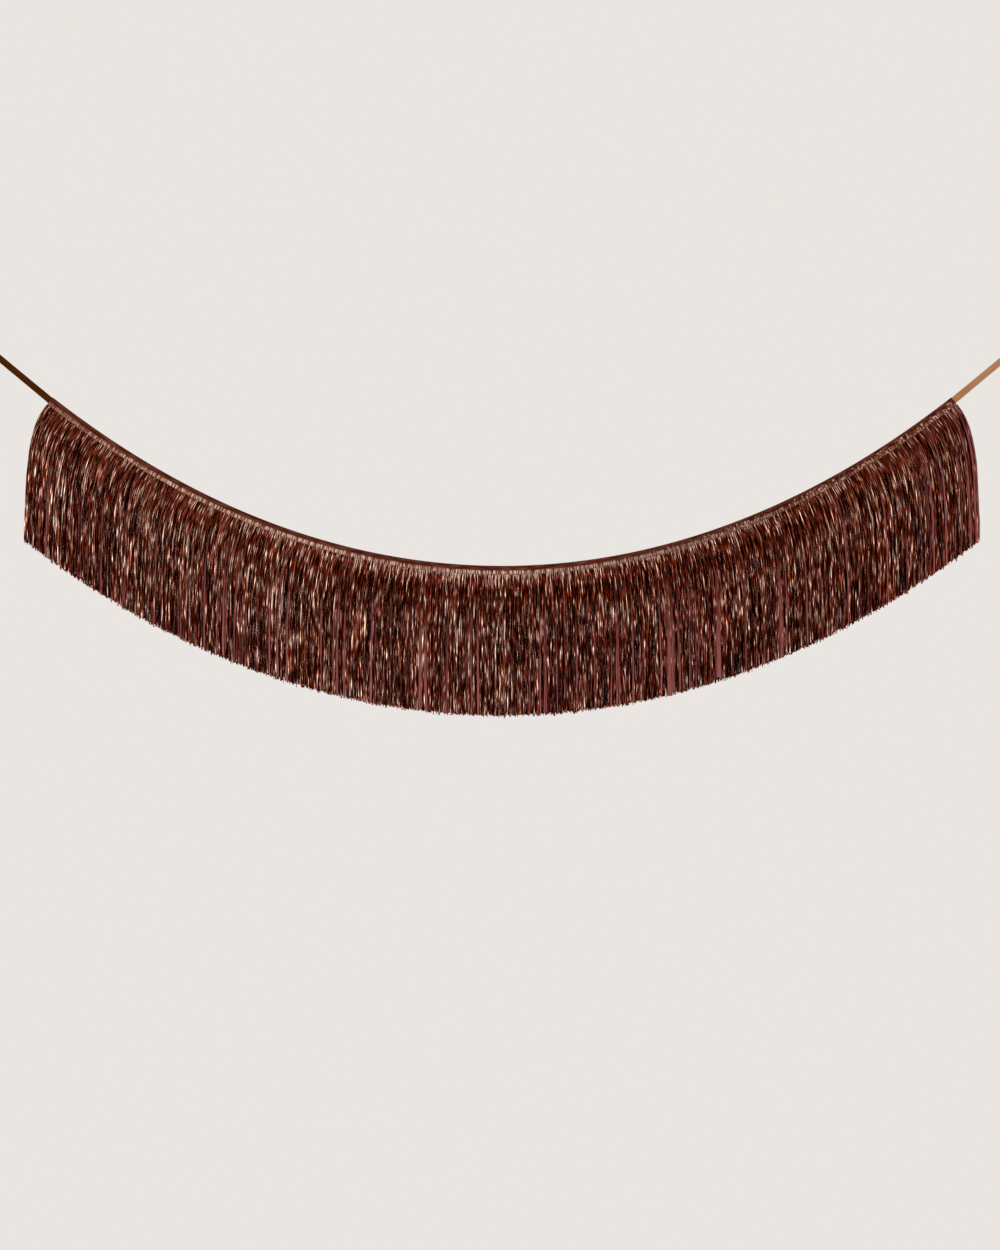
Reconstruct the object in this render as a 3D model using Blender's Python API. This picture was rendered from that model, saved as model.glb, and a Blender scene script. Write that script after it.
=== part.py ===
"""Fringe banner: slit metallised film, folded over a satin ribbon and sewn just below it.

Metres, +Z up, front towards -Y. The origin is midway between the two hooks that the
ribbon's end loops hang on. The header sags below them in a catenary, and the ribbon's
tails carry on in a straight line from its ends to the tied loops.
"""

import math
import random

import bmesh
import bpy
from mathutils import Vector

# Overall sizes
HEADER_LENGTH = 1.829
HEADER_SAG = 0.315
FRINGE_LENGTH = 0.259
TAIL_LENGTH = 0.158
TAIL_SLOPE = math.radians(39.7)

# Satin ribbon
RIBBON_WIDTH = 0.0127
RIBBON_THICKNESS = 0.0004

# Film sleeve folded over the ribbon, and the seam that closes it
FILM_WALL = 0.0004
CHANNEL_CLEARANCE = 0.0003
FOLD_CHAMFER = 0.0004
SEAM_HEIGHT = 0.0022
SEAM_THICKNESS = 0.0009
MOUTH_DEPTH = 0.009
HEADER_STATIONS_PER_PANEL = 4

# Stitches on both faces of the seam
STITCH_HEIGHT = 0.0007
STITCH_DEPTH = 0.0005
STITCH_DIP = 0.0002
STITCHES_PER_PANEL = 6

# Fringe: a strip of unslit film with the slit strips hanging from it
PANEL_COUNT = 12
PANEL_GAP = 0.0008
HEAD_HEIGHT = 0.0070
HEAD_THICKNESS = 0.0007
LEAF_GAP = 0.0003
SEAM_GAP = 0.0005
FRONT_STRANDS = 15
BACK_STRANDS = 14
STRAND_WIDTH = 0.0050
STRAND_TURN = 0.060
STRAND_KNEE = 0.070
STRAND_RAGGED = 0.004
STRAND_SEED = 7
LEAF_SPREAD_KNEE = 0.0060
LEAF_SPREAD_TIP = 0.0085
LEAF_SPREAD_VARIES = 0.0030

# Tied ends
KNOT_RADIUS = 0.0065
KNOT_GROOVE = 0.0008
KNOT_STEPS = 10
KNOT_SIDES = 16
LOOP_LENGTH = 0.036
LOOP_WIDTH = 0.018
LOOP_ROOT = 0.0034
LOOP_BAND = 0.0006
LOOP_STATIONS = 11
GATHER_WIDTH = 0.0060
GATHER_THICKNESS = 0.0012
GATHER_LENGTH = 0.016
GATHER_STATIONS = 4
END_LENGTH = 0.036
END_SLANT = 0.007
END_ANGLE = math.radians(62)
END_STATIONS = 6

# Shared clearances and shading
TOUCH_GAP = 0.0003
CUT_OVERRUN = 0.004
SHARP_ANGLE = math.radians(40)

HALF_LENGTH = HEADER_LENGTH / 2
CATENARY = (HALF_LENGTH**2 - HEADER_SAG**2) / (2 * HEADER_SAG)
HALF_SPAN = CATENARY * math.asinh(HALF_LENGTH / CATENARY)
TAIL_WAY = Vector((math.cos(TAIL_SLOPE), 0, math.sin(TAIL_SLOPE)))
HEADER_END = Vector((HALF_SPAN, 0, -(TAIL_LENGTH + LOOP_LENGTH) * TAIL_WAY.z))
HEADER_LOW = HEADER_END.z - HEADER_SAG
KNOT_CENTRE = HEADER_END + TAIL_LENGTH * TAIL_WAY

CAVITY_HALF_HEIGHT = RIBBON_WIDTH / 2 + CHANNEL_CLEARANCE
CAVITY_HALF_DEPTH = RIBBON_THICKNESS / 2 + CHANNEL_CLEARANCE
SLEEVE_HALF_HEIGHT = CAVITY_HALF_HEIGHT + FILM_WALL
SLEEVE_HALF_DEPTH = CAVITY_HALF_DEPTH + FILM_WALL
SEAM_BOTTOM = SLEEVE_HALF_HEIGHT + SEAM_HEIGHT
HEAD_TOP = SEAM_BOTTOM + SEAM_GAP
HEAD_BOTTOM = HEAD_TOP + HEAD_HEIGHT
PANEL_LENGTH = HEADER_LENGTH / PANEL_COUNT


def clear_scene():
    for obj in list(bpy.data.objects):
        bpy.data.objects.remove(obj)


def finish(name, colour, roughness, metallic):
    """A plain Principled material; colour is sRGB from 0 to 1."""
    made = bpy.data.materials.new(name)
    made.use_nodes = True
    shader = made.node_tree.nodes["Principled BSDF"]
    linear = [c / 12.92 if c < 0.04045 else ((c + 0.055) / 1.055) ** 2.4 for c in colour]
    shader.inputs["Base Color"].default_value = (*linear, 1)
    shader.inputs["Roughness"].default_value = roughness
    shader.inputs["Metallic"].default_value = metallic
    return made


def on_header(along, below, depth):
    """The point at an arc length from the header's middle, square below its centre line."""
    reach = math.hypot(CATENARY, along)
    x = CATENARY * math.asinh(along / CATENARY) + below * along / reach
    z = HEADER_LOW + reach - CATENARY - below * CATENARY / reach
    return Vector((x, depth, z))


def header_stations(low, high):
    """Arc lengths from low to high, sharing the sleeve's own stations in between."""
    count = PANEL_COUNT * HEADER_STATIONS_PER_PANEL
    step = HEADER_LENGTH / count
    shared = [i * step - HALF_LENGTH for i in range(count + 1)]
    return [low, *(s for s in shared if low + step / 2 < s < high - step / 2), high]


def sweep(rings):
    """A closed solid through rings of points, extruded from the first ring to the last."""
    bm = bmesh.new()
    first = [bm.verts.new(point) for point in rings[0]]
    face = bm.faces.new(first)
    for ring in rings[1:]:
        face = bmesh.ops.extrude_discrete_faces(bm, faces=[face])["faces"][0]
        for vert, point in zip(face.verts, ring):
            vert.co = point
    bm.faces.new(reversed(first))
    return bm


def band_ring(centre, way, width, thickness, edge_on=False):
    """A flat ribbon's section: its width in the banner's plane, or along Y if edge_on."""
    across = Vector((-way.z, 0, way.x)).normalized()
    depth = Vector((0, 1, 0))
    if edge_on:
        across, depth = depth, across
    wide = across * width / 2
    thick = depth * thickness / 2
    return [centre + wide + thick, centre - wide + thick, centre - wide - thick, centre + wide - thick]


def gathered(distance):
    """(width, thickness) of the ribbon at a distance from the knot that draws it in."""
    share = min(max(distance / GATHER_LENGTH, 0), 1)
    ease = share * share * (3 - 2 * share)
    width = GATHER_WIDTH + (RIBBON_WIDTH - GATHER_WIDTH) * ease
    thickness = GATHER_THICKNESS + (RIBBON_THICKNESS - GATHER_THICKNESS) * ease
    return width, thickness


def add_object(name, bm, material, parent=None, smooth=False, mirrored=False):
    """One named object with its mesh in place, carried by an empty on its joint's axis."""
    if mirrored:
        bmesh.ops.scale(bm, vec=(-1, 1, 1), verts=bm.verts)
    bmesh.ops.recalc_face_normals(bm, faces=bm.faces)
    mesh = bpy.data.meshes.new(name)
    bm.to_mesh(mesh)
    bm.free()
    mesh.materials.append(material)
    if smooth:
        mesh.shade_smooth()
        mesh.set_sharp_from_angle(angle=SHARP_ANGLE)
    obj = bpy.data.objects.new(name, mesh)
    bpy.context.collection.objects.link(obj)
    if parent:
        obj.parent = parent
        obj.matrix_parent_inverse = parent.matrix_world.inverted()
    return obj


def add_hinge(name, place, way, parent=None):
    """An empty on a joint's axis, with its own X along the axis."""
    empty = bpy.data.objects.new(name, None)
    empty.empty_display_size = RIBBON_WIDTH
    empty.matrix_world = way.to_track_quat("X", "Z").to_matrix().to_4x4()
    empty.matrix_world.translation = place
    bpy.context.collection.objects.link(empty)
    bpy.context.view_layer.update()
    if parent:
        empty.parent = parent
        empty.matrix_parent_inverse = parent.matrix_world.inverted()
        bpy.context.view_layer.update()
    return empty


def add_sleeve(film, parent):
    """The film folded over the ribbon: a flat channel, closed below by the pressed seam."""
    tall, deep = SLEEVE_HALF_HEIGHT, SLEEVE_HALF_DEPTH
    section = [
        (-tall, deep - FOLD_CHAMFER),
        (FOLD_CHAMFER - tall, deep),
        (tall, deep),
        (tall, SEAM_THICKNESS / 2),
        (SEAM_BOTTOM, SEAM_THICKNESS / 2),
    ]
    section += [(below, -depth) for below, depth in reversed(section)]
    stations = header_stations(-HALF_LENGTH, HALF_LENGTH)
    body = sweep([[on_header(s, below, depth) for below, depth in section] for s in stations])
    sleeve = add_object("header_sleeve", body, film, parent)

    tall, deep = CAVITY_HALF_HEIGHT, CAVITY_HALF_DEPTH
    section = [(-tall, deep), (tall, deep), (tall, -deep), (-tall, -deep)]
    stations[0] -= CUT_OVERRUN
    stations[-1] += CUT_OVERRUN
    space = sweep([[on_header(s, below, depth) for below, depth in section] for s in stations])
    cutter = add_object("channel_cutter", space, film)
    cutter.hide_render = True
    cutter.display_type = "WIRE"
    cut = sleeve.modifiers.new("channel", "BOOLEAN")
    cut.operation = "DIFFERENCE"
    cut.object = cutter


def add_channel_ribbon(satin, parent):
    """The ribbon's middle stretch, loose inside the sleeve."""
    wide, thick = RIBBON_WIDTH / 2, RIBBON_THICKNESS / 2
    section = [(-wide, thick), (wide, thick), (wide, -thick), (-wide, -thick)]
    end = HALF_LENGTH - MOUTH_DEPTH
    rings = [[on_header(s, below, depth) for below, depth in section] for s in header_stations(-end, end)]
    add_object("channel_ribbon", sweep(rings), satin, parent)


def add_stitch_row(name, side, thread, parent):
    """One thread along the seam: raised over each stitch, drawn in between them."""
    count = PANEL_COUNT * STITCHES_PER_PANEL * 2
    end = HALF_LENGTH - MOUTH_DEPTH / 2
    middle = SLEEVE_HALF_HEIGHT + SEAM_HEIGHT / 2
    near = SEAM_THICKNESS / 2 + TOUCH_GAP
    rings = []
    for i in range(count + 1):
        s = end * (2 * i / count - 1)
        tall = STITCH_HEIGHT / 2 if i % 2 else STITCH_HEIGHT / 2 - STITCH_DIP
        far = near + STITCH_DEPTH - (0 if i % 2 else STITCH_DIP)
        corners = [(middle - tall, near), (middle + tall, near), (middle + tall, far), (middle - tall, far)]
        rings.append([on_header(s, below, side * depth) for below, depth in corners])
    add_object(name, sweep(rings), thread, parent)


def strand_way(along, length):
    """How far a strand has gone from its root: it leaves square to the header and turns to hang straight down."""
    slope = math.atan(along / CATENARY)
    out = STRAND_TURN * math.sin(slope) * (1 - math.exp(-length / STRAND_TURN))
    lost = STRAND_TURN / 2 * (1 - math.cos(slope)) * (1 - math.exp(-2 * length / STRAND_TURN))
    return Vector((out, 0, lost - length))


def strand_centres(middle, count):
    """Arc lengths of a panel's strands: one leaf's lie midway between the other's."""
    pitch = PANEL_LENGTH / FRONT_STRANDS
    return [middle + (i - (count - 1) / 2) * pitch for i in range(count)]


def add_comb(name, middle, side, count, film, parent, rand):
    """A slice of unslit film with its strands: side is -1 for the front leaf and 1 for the back one."""
    low = middle - PANEL_LENGTH / 2 + PANEL_GAP / 2
    high = middle + PANEL_LENGTH / 2 - PANEL_GAP / 2
    near = side * LEAF_GAP / 2
    bm = bmesh.new()
    edges = []
    for centre in strand_centres(middle, count):
        edges += [centre - STRAND_WIDTH / 2, centre + STRAND_WIDTH / 2]
    top = [bm.verts.new(on_header(s, HEAD_TOP, near)) for s in header_stations(low, high)]
    bottom = [bm.verts.new(on_header(s, HEAD_BOTTOM, near)) for s in [low, *edges, high]]
    head = bm.faces.new(top + bottom[::-1])
    grown = bmesh.ops.extrude_face_region(bm, geom=[head], use_keep_orig=True)["geom"]
    outer = [item for item in grown if isinstance(item, bmesh.types.BMVert)]
    bmesh.ops.translate(bm, verts=outer, vec=(0, side * HEAD_THICKNESS, 0))
    for i, centre in enumerate(strand_centres(middle, count)):
        edge = bm.edges.get((bottom[2 * i + 1], bottom[2 * i + 2]))
        root = next(face for face in edge.link_faces if face is not head)
        length = FRINGE_LENGTH - HEAD_HEIGHT + STRAND_RAGGED * rand.uniform(-1, 1)
        knee = LEAF_SPREAD_KNEE + LEAF_SPREAD_VARIES * rand.uniform(-1, 1)
        tip = LEAF_SPREAD_TIP + LEAF_SPREAD_VARIES * rand.uniform(-1, 1)
        at_knee = strand_way(centre, STRAND_KNEE) + Vector((0, side * knee, 0))
        at_tip = strand_way(centre, length) + Vector((0, side * tip, 0))
        for step in (at_knee, at_tip - at_knee):
            root = bmesh.ops.extrude_discrete_faces(bm, faces=[root])["faces"][0]
            bmesh.ops.translate(bm, verts=root.verts, vec=step)
    add_object(name, bm, film, parent)


def panel_hinge(middle):
    """(place, direction) of the line that a panel's film bends about, just below the seam."""
    below = SEAM_BOTTOM + SEAM_GAP / 2
    left = on_header(middle - PANEL_LENGTH / 2, below, 0)
    right = on_header(middle + PANEL_LENGTH / 2, below, 0)
    place = ((left + right) / 2 + on_header(middle, below, 0)) / 2
    return place, (right - left).normalized()


def add_fringe(film, parent):
    """The fringe in panels, each a front and a back leaf that swing together."""
    rand = random.Random(STRAND_SEED)
    for i in range(PANEL_COUNT):
        middle = (i + 0.5) * PANEL_LENGTH - HALF_LENGTH
        hinge = add_hinge(f"panel_{i + 1:02d}_hinge", *panel_hinge(middle), parent)
        add_comb(f"front_fringe_{i + 1:02d}", middle, -1, FRONT_STRANDS, film, hinge, rand)
        add_comb(f"back_fringe_{i + 1:02d}", middle, 1, BACK_STRANDS, film, hinge, rand)


def add_tail(name, satin, parent, mirrored):
    """The free stretch of ribbon, from inside the sleeve's mouth to the knot."""
    rings = []
    for s in (HALF_LENGTH - MOUTH_DEPTH + TOUCH_GAP, HALF_LENGTH - MOUTH_DEPTH / 2):
        way = Vector((CATENARY, 0, s))
        rings.append(band_ring(on_header(s, 0, 0), way, RIBBON_WIDTH, RIBBON_THICKNESS))
    reach = TAIL_LENGTH - KNOT_RADIUS - TOUCH_GAP
    free = int((reach - GATHER_LENGTH) // (2 * RIBBON_WIDTH))
    distances = [i * 2 * RIBBON_WIDTH for i in range(free + 1)]
    distances += [reach - GATHER_LENGTH * i / GATHER_STATIONS for i in range(GATHER_STATIONS, -1, -1)]
    for distance in distances:
        centre = HEADER_END + distance * TAIL_WAY
        rings.append(band_ring(centre, TAIL_WAY, *gathered(reach - distance)))
    add_object(name, sweep(rings), satin, parent, smooth=True, mirrored=mirrored)


def add_knot(name, satin, parent, mirrored):
    """A ball of tied ribbon, turned about the line that the banner swings on."""
    bm = bmesh.new()
    profile = []
    for i in range(KNOT_STEPS + 1):
        turn = math.pi * i / KNOT_STEPS
        groove = KNOT_GROOVE if i == KNOT_STEPS // 2 else 0
        radius = (KNOT_RADIUS - groove) * math.sin(turn)
        place = KNOT_CENTRE + Vector((-KNOT_RADIUS * math.cos(turn), 0, radius))
        profile.append(bm.verts.new(place))
    edges = [bm.edges.new(pair) for pair in zip(profile, profile[1:])]
    bmesh.ops.spin(
        bm,
        geom=profile + edges,
        cent=KNOT_CENTRE,
        axis=(1, 0, 0),
        angle=math.tau,
        steps=KNOT_SIDES,
        use_merge=True,
    )
    bmesh.ops.remove_doubles(bm, verts=bm.verts, dist=TOUCH_GAP / 10)
    add_object(name, bm, satin, parent, smooth=True, mirrored=mirrored)


def add_loop(name, satin, parent, mirrored):
    """The tied loop: the ribbon edge-on in a teardrop, with a short flat crown on the hook."""
    across = Vector((-TAIL_WAY.z, 0, TAIL_WAY.x))
    start = KNOT_RADIUS + TOUCH_GAP
    crown = LOOP_LENGTH + LOOP_BAND / 2
    peak = 4 / math.sqrt(27)
    whole = 1 - math.cos(math.pi * (LOOP_STATIONS - 1) / LOOP_STATIONS)
    leg = []
    for i in range(LOOP_STATIONS):
        turn = math.pi * i / LOOP_STATIONS
        along = start + (crown - start) * (1 - math.cos(turn)) / whole
        bulge = (LOOP_WIDTH - LOOP_BAND) / 2 * math.sin(turn) * math.sin(turn / 2) / peak
        leg.append((along, LOOP_ROOT / 2 * math.cos(turn / 2) ** 2 + bulge))
    route = leg + [(u, -v) for u, v in reversed(leg)]
    centres = [KNOT_CENTRE + u * TAIL_WAY + v * across for u, v in route]
    rings = []
    for i, centre in enumerate(centres):
        way = centres[min(i + 1, len(centres) - 1)] - centres[max(i - 1, 0)]
        width, _ = gathered(route[i][0] - start)
        rings.append(band_ring(centre, way, width, LOOP_BAND, edge_on=True))
    add_object(name, sweep(rings), satin, parent, smooth=True, mirrored=mirrored)


def add_end(name, satin, parent, mirrored):
    """The short end left over from tying, cut on a slant."""
    start = KNOT_RADIUS + TOUCH_GAP
    rings = []
    centre = KNOT_CENTRE + start * Vector((math.cos(END_ANGLE), 0, -math.sin(END_ANGLE)))
    for i in range(END_STATIONS + 1):
        share = i / END_STATIONS
        angle = END_ANGLE + (math.pi / 2 - END_ANGLE) * share
        way = Vector((math.cos(angle), 0, -math.sin(angle)))
        if i:
            centre = centre + way * END_LENGTH / END_STATIONS
        ring = band_ring(centre, way, *gathered(share * END_LENGTH))
        if i == END_STATIONS:
            slant = way * END_SLANT / 2
            ring = [ring[0] - slant, ring[1] + slant, ring[2] + slant, ring[3] - slant]
        rings.append(ring)
    add_object(name, sweep(rings), satin, parent, smooth=True, mirrored=mirrored)


def main():
    clear_scene()
    film = finish("metallised film", (0.36, 0.20, 0.15), 0.3, 0.8)
    satin = finish("satin ribbon", (0.33, 0.21, 0.11), 0.45, 0)
    thread = finish("sewing thread", (0.52, 0.38, 0.32), 0.8, 0)
    swing = add_hinge("banner_swing", Vector((0, 0, KNOT_CENTRE.z)), Vector((1, 0, 0)))
    for side, mirrored in (("left", True), ("right", False)):
        add_loop(f"{side}_hanging_loop", satin, None, mirrored)
        add_knot(f"{side}_knot", satin, None, mirrored)
        add_end(f"{side}_ribbon_end", satin, None, mirrored)
        add_tail(f"{side}_ribbon_tail", satin, swing, mirrored)
    add_channel_ribbon(satin, swing)
    add_sleeve(film, swing)
    add_stitch_row("front_stitch_row", -1, thread, swing)
    add_stitch_row("back_stitch_row", 1, thread, swing)
    add_fringe(film, swing)


main()
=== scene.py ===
# %% [markdown]
# # A foil fringe banner
# A party banner made of brown metallised film. The film is folded over a satin ribbon,
# sewn just below it, and slit into thousands of narrow strips that hang in a deep fringe.
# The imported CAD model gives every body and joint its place. This script keeps that frame
# and hangs the real surfaces on it: film, satin and thread.

import math

import bmesh
import bpy
import numpy as np
from mathutils import Matrix, Vector, noise


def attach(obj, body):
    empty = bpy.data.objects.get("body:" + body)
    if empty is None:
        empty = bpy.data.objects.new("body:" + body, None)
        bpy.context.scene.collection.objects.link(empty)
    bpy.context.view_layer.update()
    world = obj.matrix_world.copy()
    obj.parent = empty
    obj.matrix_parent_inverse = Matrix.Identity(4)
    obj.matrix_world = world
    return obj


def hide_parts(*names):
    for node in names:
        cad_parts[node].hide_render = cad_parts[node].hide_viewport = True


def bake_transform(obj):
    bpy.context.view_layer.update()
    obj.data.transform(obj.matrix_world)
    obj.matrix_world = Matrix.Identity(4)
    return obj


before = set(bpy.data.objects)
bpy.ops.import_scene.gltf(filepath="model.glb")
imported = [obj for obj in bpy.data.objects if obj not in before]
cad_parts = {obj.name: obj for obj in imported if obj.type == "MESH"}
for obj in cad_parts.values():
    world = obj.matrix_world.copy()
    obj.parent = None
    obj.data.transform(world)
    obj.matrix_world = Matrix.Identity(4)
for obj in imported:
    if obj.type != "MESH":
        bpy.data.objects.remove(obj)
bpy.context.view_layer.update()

# %% [markdown]
# ## The curve that everything follows
# A ribbon that is held at two points and carries an even load hangs in a catenary. Points
# on the banner are easiest to give in the header's own terms: how far along it, how far
# below its centre line, and how far back from its middle plane. The sizes are the CAD
# model's.

# %% Sizes and the header's curve
MM = 0.001
HEADER_LENGTH, HEADER_SAG = 1.829, 0.315
TAIL_LENGTH, TAIL_SLOPE = 0.158, math.radians(39.7)
LOOP_LENGTH = 0.036
RIBBON_WIDTH = 12.7 * MM
MOUTH_DEPTH = 9 * MM  # how far a tail reaches into the header
SEAM_LINE, SEAM_BOTTOM, HEAD_BOTTOM = 8.15 * MM, 9.25 * MM, 16.75 * MM  # below the centre line
FRINGE_LENGTH = 0.259
STRAND_TURN = 0.060  # the length in which a strip turns down
PANEL_COUNT = 12

HALF_LENGTH = HEADER_LENGTH / 2
PANEL_LENGTH = HEADER_LENGTH / PANEL_COUNT
CATENARY = (HALF_LENGTH**2 - HEADER_SAG**2) / (2 * HEADER_SAG)
HALF_SPAN = CATENARY * math.asinh(HALF_LENGTH / CATENARY)
TAIL_WAY = np.array([math.cos(TAIL_SLOPE), 0, math.sin(TAIL_SLOPE)])
TAIL_ACROSS = np.array([-TAIL_WAY[2], 0, TAIL_WAY[0]])
HEADER_END = np.array([HALF_SPAN, 0, -(TAIL_LENGTH + LOOP_LENGTH) * TAIL_WAY[2]])
HEADER_LOW = HEADER_END[2] - HEADER_SAG
KNOT_CENTRE = HEADER_END + TAIL_LENGTH * TAIL_WAY


def on_header(along, below, depth):
    """Points at arc lengths from the header's middle, square below its centre line."""
    reach = np.hypot(CATENARY, along)
    x = CATENARY * np.arcsinh(along / CATENARY) + below * along / reach
    z = HEADER_LOW + reach - CATENARY - below * CATENARY / reach
    return np.stack(np.broadcast_arrays(x, depth, z), axis=-1)


def hang(along, length):
    """How far a strip has gone: it leaves square to the header and turns to hang straight down."""
    slope = np.arctan(along / CATENARY)
    out = STRAND_TURN * np.sin(slope) * (1 - np.exp(-length / STRAND_TURN))
    lost = STRAND_TURN / 2 * (1 - np.cos(slope)) * (1 - np.exp(-2 * length / STRAND_TURN))
    return np.stack(np.broadcast_arrays(out, 0, lost - length), axis=-1)


print("header ends at", HEADER_END.round(4), "lowest", round(HEADER_LOW, 4))
print("knots at", KNOT_CENTRE.round(4))

# %% [markdown]
# ## The camera
# The photograph is taken straight from the front with a long lens, so that the banner
# shows no perspective to speak of. An 85 mm lens on a 36 mm sensor does the same from
# about five and a half metres.

# %% Camera
VIEW_LONG_SIDE = 2.326  # what it covers at the banner
VIEW_X, VIEW_Z = -0.0037, -0.5417
LENS, SENSOR = 85, 36


def new_object(name, data):
    """An object in the scene, at the origin."""
    made = bpy.data.objects.new(name, data)
    bpy.context.collection.objects.link(made)
    return made


camera = bpy.data.cameras.new("camera")
camera.lens = LENS
camera.sensor_width = SENSOR
view_point = new_object("camera", camera)
view_point.location = (VIEW_X, -VIEW_LONG_SIDE * LENS / SENSOR, VIEW_Z)
view_point.rotation_euler = (math.pi / 2, 0, 0)
bpy.context.scene.camera = view_point
print("camera", round(-view_point.location.y, 2), "m in front")

# %% [markdown]
# ## Colours and nodes
# Shader colours are linear, while colours are picked as sRGB hex values, so one function
# turns one into the other. Another adds a node with its settings and links: an input takes
# a value, or the node that feeds it. A pattern that follows a ribbon or a film is a texture
# behind a Mapping node, whose scale says how many bumps fit across and along the piece.

# %% Colours and nodes
def linear(hex_colour):
    """An sRGB colour such as "#5a2c1a" as linear RGBA."""
    values = [int(hex_colour[i : i + 2], 16) / 255 for i in (1, 3, 5)]
    return (*(v / 12.92 if v <= 0.04045 else ((v + 0.055) / 1.055) ** 2.4 for v in values), 1)


def feed(node, inputs):
    """Gives a node's inputs, by name or number, a value, or the first output of another node."""
    for name, value in inputs.items():
        sockets = [socket for socket in node.inputs if socket.enabled and socket.name == name]
        socket = sockets[0] if sockets else node.inputs[name]
        if isinstance(value, bpy.types.Node):
            value = next(output for output in value.outputs if output.enabled)
        if isinstance(value, bpy.types.NodeSocket):
            node.id_data.links.new(value, socket)
        else:
            socket.default_value = value
    return node


def add_node(tree, kind, inputs, stops=(), **settings):
    """A node of that kind with its settings and inputs.

    The stops are the places and colours of a Color Ramp, which has two of them when new.
    """
    node = tree.nodes.new(kind)
    for name, value in settings.items():
        setattr(node, name, value)
    for number, (place, colour) in enumerate(stops):
        elements = node.color_ramp.elements
        element = elements[number] if number < 2 else elements.new(1)
        element.position = place
        element.color = linear(colour)
    return feed(node, inputs)


def lay_pattern(tree, uv, across, along, inputs, kind="ShaderNodeTexNoise"):
    """A texture with that many bumps across and along a UV map."""
    scaled = add_node(tree, "ShaderNodeMapping", {"Vector": uv, "Scale": (across, along, 1)})
    return add_node(tree, kind, {"Vector": scaled, "Scale": 1.0, **inputs})


def new_material(name):
    """(material, its node tree, its Principled shader)."""
    made = bpy.data.materials.new(name)
    made.use_nodes = True
    return made, made.node_tree, made.node_tree.nodes["Principled BSDF"]


print("#808080 is", round(linear("#808080")[0], 3), "in linear light")

# %% [markdown]
# ## Flat goods and soft shapes
# Ribbon and film all start the same way: a grid is cut as a unit sheet, a rule says where
# each of its points goes, and solidify gives it its thickness. The rules work on arrays, so
# they move all of a piece's points at once. Gentle curves and smooth noise make it soft.

# %% Flat goods
UV_MAP = "OFBake"
SHARP = math.radians(50)
RIM_INSET = 0.01


def cut_sheet(across, along):
    """A unit sheet cut into a grid, with a UV map over it."""
    bm = bmesh.new()
    bm.loops.layers.uv.new(UV_MAP)
    bmesh.ops.create_grid(bm, x_segments=across, y_segments=along, size=0.5, calc_uvs=True)
    return bm


def lay_out(bm, place, thickness, inner=0):
    """Moves a unit sheet's points to place(u, v) and gives it its thickness.

    The side that this adds wears material number inner. The far corners of the rim move in
    a little on the UV map, so that the rim has an area of its own there.
    """
    flat = np.array([vert.co[:2] for vert in bm.verts]) + 0.5
    for vert, point in zip(bm.verts, place(flat[:, 0], flat[:, 1])):
        vert.co = point
    bm.normal_update()
    first_side = set(bm.faces)
    bmesh.ops.solidify(bm, geom=bm.faces[:], thickness=thickness)
    bmesh.ops.recalc_face_normals(bm, faces=bm.faces)
    uv = bm.loops.layers.uv[UV_MAP]
    for face in bm.faces:
        if face in first_side:
            continue
        face.material_index = inner
        far = [loop for loop in face.loops if first_side.isdisjoint(loop.vert.link_faces)]
        if len(far) < len(face.loops):
            for loop in far:
                loop[uv].uv = loop[uv].uv * (1 - 2 * RIM_INSET) + Vector((RIM_INSET, RIM_INSET))
    return bm


def to_mesh(name, bm):
    """A mesh from a bmesh, which is freed."""
    mesh = bpy.data.meshes.new(name)
    bm.to_mesh(mesh)
    bm.free()
    return mesh


def add_part(bm, part):
    """Adds a finished bmesh to another one."""
    mesh = to_mesh("part", part)
    bm.from_mesh(mesh)
    bpy.data.meshes.remove(mesh)


def new_piece(name, bm, *materials, mirrored=False):
    """A shaded object from a finished bmesh, at the origin."""
    if mirrored:
        bmesh.ops.scale(bm, vec=(-1, 1, 1), verts=bm.verts)
        bmesh.ops.recalc_face_normals(bm, faces=bm.faces)
    mesh = to_mesh(name, bm)
    mesh.shade_smooth()
    mesh.set_sharp_from_angle(angle=SHARP)
    for material in materials:
        mesh.materials.append(material)
    return new_object(name, mesh)


print("edges stay sharp from", round(math.degrees(SHARP)), "degrees")

# %% Soft curves and noise
def ease(share):
    """Goes from 0 to 1 with a soft start and a soft end."""
    share = np.clip(share, 0, 1)
    return share * share * (3 - 2 * share)


def fan_out(share):
    """Goes from 0 to 1, quickly at first and then gently."""
    return 1 - (1 - np.clip(share, 0, 1)) ** 2


def rough(points, size, seed=0, height=1):
    """Smooth noise at points, with bumps of about that size and at most that height."""
    shift = Vector((seed * 17.3, seed * 5.1, seed * 9.7))
    values = [noise.noise(Vector(point) / size + shift) for point in points.reshape(-1, 3)]
    return height * np.reshape(values, points.shape[:-1])


print("a third, eased:", round(float(ease(1 / 3)), 2), "and fanned:", round(fan_out(1 / 3), 2))

# %% [markdown]
# ## Satin ribbon
# The ribbon is woven polyester satin. On its face, fine warp threads float over the weft
# and shine in a streak across the ribbon; its back is duller and a little darker. Beyond
# that, the face's colours are painted lighter, as painted light, and the back's much
# darker, as painted shade. Real warp threads are about 0.1 mm apart, too fine to show here,
# so they are drawn 0.4 mm apart. The pattern follows the ribbon's own UV map, and the
# shader is anisotropic along the same map. Each ribbon piece wears both materials, one on
# either side.

# %% Satin
WARP_SPACING, WARP_RUN = 0.4 * MM, 12 * MM
PATCHES_ACROSS, PATCH_RUN = 2, 30 * MM
SHADE_PLACES = (0.35, 0.5, 0.68)
# painted light: the face's colours are lighter, and painted shade: the back's much darker
FACE_TONES_PAINTED_LIGHT = ("#936136", "#b07646", "#c68b57")
BACK_TONES_PAINTED_SHADE = ("#3b1b02", "#4a2405", "#582d0a")
TIED_LENGTH = 0.09  # about the way round a hanging loop


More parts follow.
